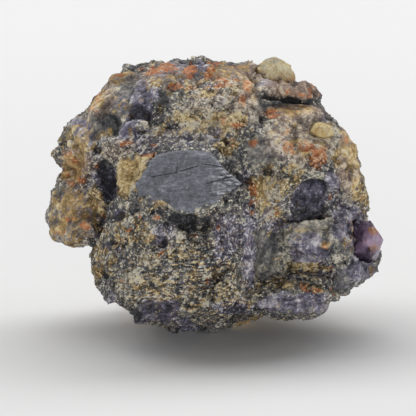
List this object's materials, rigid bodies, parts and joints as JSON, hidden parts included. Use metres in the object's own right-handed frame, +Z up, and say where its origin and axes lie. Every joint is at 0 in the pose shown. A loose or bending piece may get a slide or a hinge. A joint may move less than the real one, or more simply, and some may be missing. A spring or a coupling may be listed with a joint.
{
  "type": "rough mineral specimen",
  "caption": "Rough lump of dark grey and violet fluorite with rust staining, one smooth cleavage face, pale beryl grains and a glassy purple crystal, resting on a small flat foot.",
  "frame": {"origin": "centre of the bounding box in X and Y, on the surface the lump rests on", "axes": "+X to the right seen from the show side, along the lump's longest extent; the show side with the smooth face looks along -Y; +Z up"},
  "size_m": [0.075, 0.0588, 0.0607],
  "materials": {
    "fluorite": "rough and granular, dark grey to violet with rust and ochre stains",
    "beryl": "waxy, pale yellow-green, slightly see-through",
    "purple_fluorite": "glassy, dark purple, slightly see-through"
  },
  "bodies": {
    "root": {"fluorite_rock": "fluorite", "beryl_bead": "beryl", "beryl_knob": "beryl", "purple_crystal": "purple_fluorite"}
  },
  "joints": []
}
